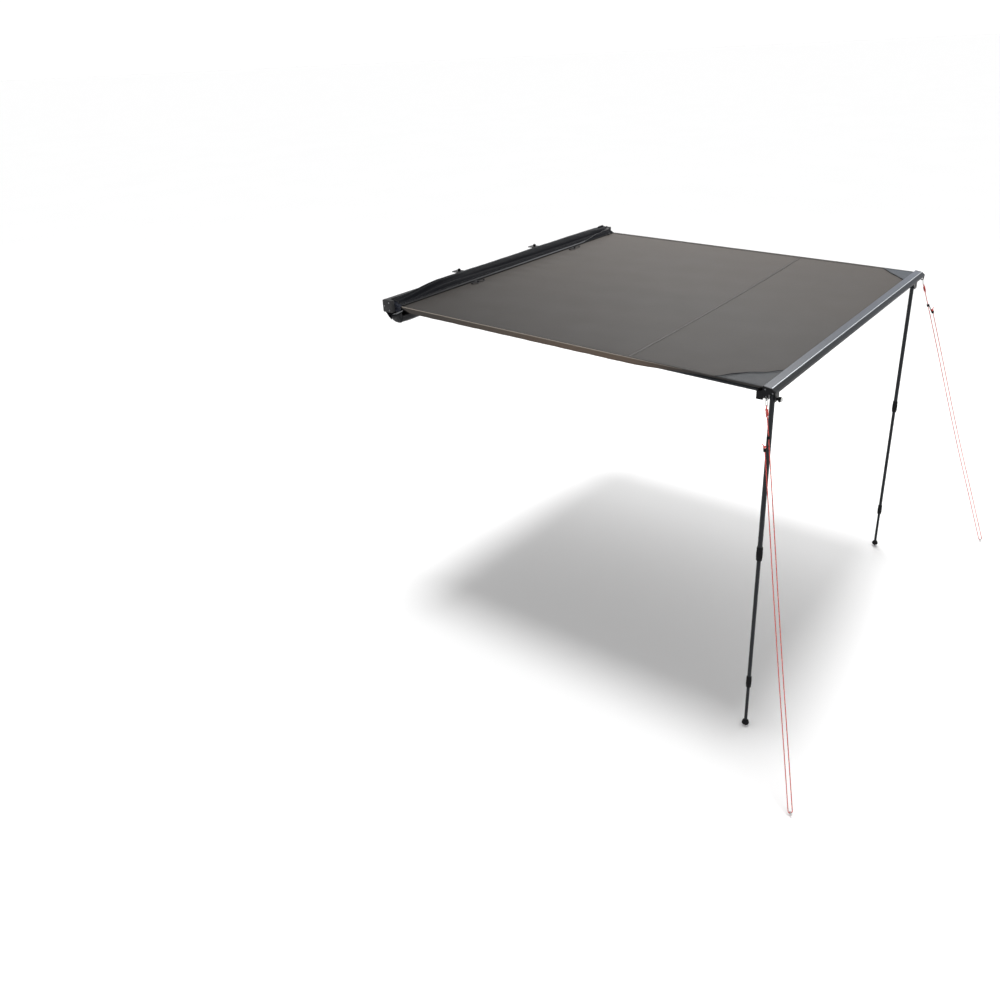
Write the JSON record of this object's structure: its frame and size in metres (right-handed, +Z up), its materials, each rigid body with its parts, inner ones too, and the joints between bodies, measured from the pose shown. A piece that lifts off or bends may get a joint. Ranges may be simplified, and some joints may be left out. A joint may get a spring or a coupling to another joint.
{
  "type": "vehicle side awning",
  "caption": "Pull-out vehicle side awning: zip bag on a back plate, stretched canopy, telescopic arms, front rail, folding telescopic legs, and pegged guy ropes.",
  "frame": {"origin": "middle of the back plate's flat rear face, which faces the vehicle", "axes": "+X to the vehicle's rear along the back plate, +Y towards the vehicle, +Z up"},
  "size_m": [2.644, 2.5945, 1.893],
  "materials": {
    "dark_aluminium": "matt anodised",
    "rail_paint": "satin powder coat",
    "black_tube": "satin black coat",
    "black_steel": "black powder coat",
    "black_plastic": "matt moulded",
    "bright_steel": "bright zinc",
    "bag_fabric": "coated, slightly glossy",
    "canopy_fabric": "woven ripstop, matt",
    "patch_fabric": "woven, matt",
    "red_rope": "braided"
  },
  "bodies": {
    "base": {"back_plate": "dark_aluminium", "end_cap_near": "black_plastic", "end_cap_far": "black_plastic", "mounting_bracket_front": "black_steel", "mounting_bracket_rear": "black_steel", "slot_bolt_front": "black_steel", "slot_bolt_rear": "black_steel", "bar_stud_front": "black_plastic", "bar_stud_rear": "black_plastic", "bag_cover": "bag_fabric", "bag_lower_flap": "bag_fabric", "tie_loop_front": "bag_fabric", "tie_loop_rear": "bag_fabric", "awning_canopy": "canopy_fabric", "arm_bracket_near": "black_steel", "arm_bracket_far": "black_steel"},
    "zip": {"zip_slider": "black_plastic"},
    "rail": {"front_rail": "rail_paint", "rail_corner_near": "black_plastic", "leg_hinge_near": "black_steel", "leg_pin_near": "bright_steel", "corner_patch_near": "patch_fabric", "rail_corner_far": "black_plastic", "leg_hinge_far": "black_steel", "leg_pin_far": "bright_steel", "corner_patch_far": "patch_fabric"},
    "near_arm": {"arm_knuckle_near": "black_plastic", "arm_outer_tube_near": "black_tube"},
    "near_arm_lock": {"arm_lock_near": "black_plastic"},
    "near_arm_inner": {"arm_inner_tube_near": "black_tube", "arm_tip_near": "black_plastic"},
    "near_leg_knob": {"leg_knob_near": "black_plastic"},
    "near_leg": {"leg_knuckle_near": "black_plastic", "leg_upper_tube_near": "black_tube"},
    "near_leg_upper_lock": {"leg_upper_lock_near": "black_plastic"},
    "near_leg_middle": {"leg_middle_tube_near": "black_tube"},
    "near_leg_lower_lock": {"leg_lower_lock_near": "black_plastic"},
    "near_leg_lower": {"leg_lower_tube_near": "black_tube", "leg_foot_near": "black_plastic"},
    "near_guy": {"rope_clip_near": "bright_steel", "guy_rope_near": "red_rope", "tensioner_near": "black_plastic", "peg_near": "bright_steel"},
    "far_arm": {"arm_knuckle_far": "black_plastic", "arm_outer_tube_far": "black_tube"},
    "far_arm_lock": {"arm_lock_far": "black_plastic"},
    "far_arm_inner": {"arm_inner_tube_far": "black_tube", "arm_tip_far": "black_plastic"},
    "far_leg_knob": {"leg_knob_far": "black_plastic"},
    "far_leg": {"leg_knuckle_far": "black_plastic", "leg_upper_tube_far": "black_tube"},
    "far_leg_upper_lock": {"leg_upper_lock_far": "black_plastic"},
    "far_leg_middle": {"leg_middle_tube_far": "black_tube"},
    "far_leg_lower_lock": {"leg_lower_lock_far": "black_plastic"},
    "far_leg_lower": {"leg_lower_tube_far": "black_tube", "leg_foot_far": "black_plastic"},
    "far_guy": {"rope_clip_far": "bright_steel", "guy_rope_far": "red_rope", "tensioner_far": "black_plastic", "peg_far": "bright_steel"}
  },
  "joints": [
    {"name": "zip_travel", "type": "slide", "parent": "base", "child": "zip", "axis": [-1, 0, 0], "range_m": [0, 1.86]},
    {"name": "rail_travel", "type": "slide", "parent": "base", "child": "rail", "axis": [0, 0.9998, 0.021], "range_m": [0, 0.83], "deforming": ["awning_canopy"]},
    {"name": "near_arm_swing", "type": "hinge", "parent": "base", "child": "near_arm", "pos_m": [-0.945, -0.046, -0.03076], "axis": [0, 0, 1], "range_deg": [0, 54]},
    {"name": "near_arm_lock_twist", "type": "hinge", "parent": "near_arm", "child": "near_arm_lock", "pos_m": [-0.945, -1.00079, -0.05086], "axis": [0, -0.9998, -0.021], "range_deg": [0, 90]},
    {"name": "near_arm_slide", "type": "slide", "parent": "near_arm", "child": "near_arm_inner", "axis": [0, 0.9998, 0.021], "range_m": [0, 0.83]},
    {"name": "near_leg_knob_spin", "type": "hinge", "parent": "rail", "child": "near_leg_knob", "pos_m": [-0.97, -2.0322, -0.086], "axis": [0, -1, 0], "range_deg": [0, 180]},
    {"name": "near_leg_fold", "type": "hinge", "parent": "rail", "child": "near_leg", "pos_m": [-0.97, -2.0322, -0.058], "axis": [0, -1, 0], "range_deg": [0, 90]},
    {"name": "near_leg_upper_lock_twist", "type": "hinge", "parent": "near_leg", "child": "near_leg_upper_lock", "pos_m": [-0.97, -2.0322, -0.78], "axis": [0, 0, 1], "range_deg": [0, 90]},
    {"name": "near_leg_middle_slide", "type": "slide", "parent": "near_leg", "child": "near_leg_middle", "axis": [0, 0, 1], "range_m": [0, 0.595]},
    {"name": "near_leg_lower_lock_twist", "type": "hinge", "parent": "near_leg_middle", "child": "near_leg_lower_lock", "pos_m": [-0.97, -2.0322, -1.443], "axis": [0, 0, 1], "range_deg": [0, 90]},
    {"name": "near_leg_lower_slide", "type": "slide", "parent": "near_leg_middle", "child": "near_leg_lower", "axis": [0, 0, 1], "range_m": [0, 0.182]},
    {"name": "near_guy_swing", "type": "hinge", "parent": "rail", "child": "near_guy", "pos_m": [-1.0028, -2.0192, -0.072], "axis": [-1, 0, 0], "range_deg": [0, 30]},
    {"name": "far_arm_swing", "type": "hinge", "parent": "base", "child": "far_arm", "pos_m": [0.945, -0.076, -0.03139], "axis": [0, 0, -1], "range_deg": [0, 54]},
    {"name": "far_arm_lock_twist", "type": "hinge", "parent": "far_arm", "child": "far_arm_lock", "pos_m": [0.945, -1.03079, -0.05149], "axis": [0, -0.9998, -0.021], "range_deg": [0, 90]},
    {"name": "far_arm_slide", "type": "slide", "parent": "far_arm", "child": "far_arm_inner", "axis": [0, 0.9998, 0.021], "range_m": [0, 0.83]},
    {"name": "far_leg_knob_spin", "type": "hinge", "parent": "rail", "child": "far_leg_knob", "pos_m": [0.87, -2.0322, -0.086], "axis": [0, 1, 0], "range_deg": [0, 180]},
    {"name": "far_leg_fold", "type": "hinge", "parent": "rail", "child": "far_leg", "pos_m": [0.87, -2.0322, -0.058], "axis": [0, 1, 0], "range_deg": [0, 90]},
    {"name": "far_leg_upper_lock_twist", "type": "hinge", "parent": "far_leg", "child": "far_leg_upper_lock", "pos_m": [0.87, -2.0322, -0.78], "axis": [0, 0, 1], "range_deg": [0, 90]},
    {"name": "far_leg_middle_slide", "type": "slide", "parent": "far_leg", "child": "far_leg_middle", "axis": [0, 0, 1], "range_m": [0, 0.595]},
    {"name": "far_leg_lower_lock_twist", "type": "hinge", "parent": "far_leg_middle", "child": "far_leg_lower_lock", "pos_m": [0.87, -2.0322, -1.443], "axis": [0, 0, 1], "range_deg": [0, 90]},
    {"name": "far_leg_lower_slide", "type": "slide", "parent": "far_leg_middle", "child": "far_leg_lower", "axis": [0, 0, 1], "range_m": [0, 0.182]},
    {"name": "far_guy_swing", "type": "hinge", "parent": "rail", "child": "far_guy", "pos_m": [1.0028, -2.0452, -0.072], "axis": [-1, 0, 0], "range_deg": [0, 30]}
  ],
  "couplings": [
    {"joint": "near_arm_slide", "follows": "rail_travel", "ratio": 1},
    {"joint": "far_arm_slide", "follows": "rail_travel", "ratio": 1}
  ]
}
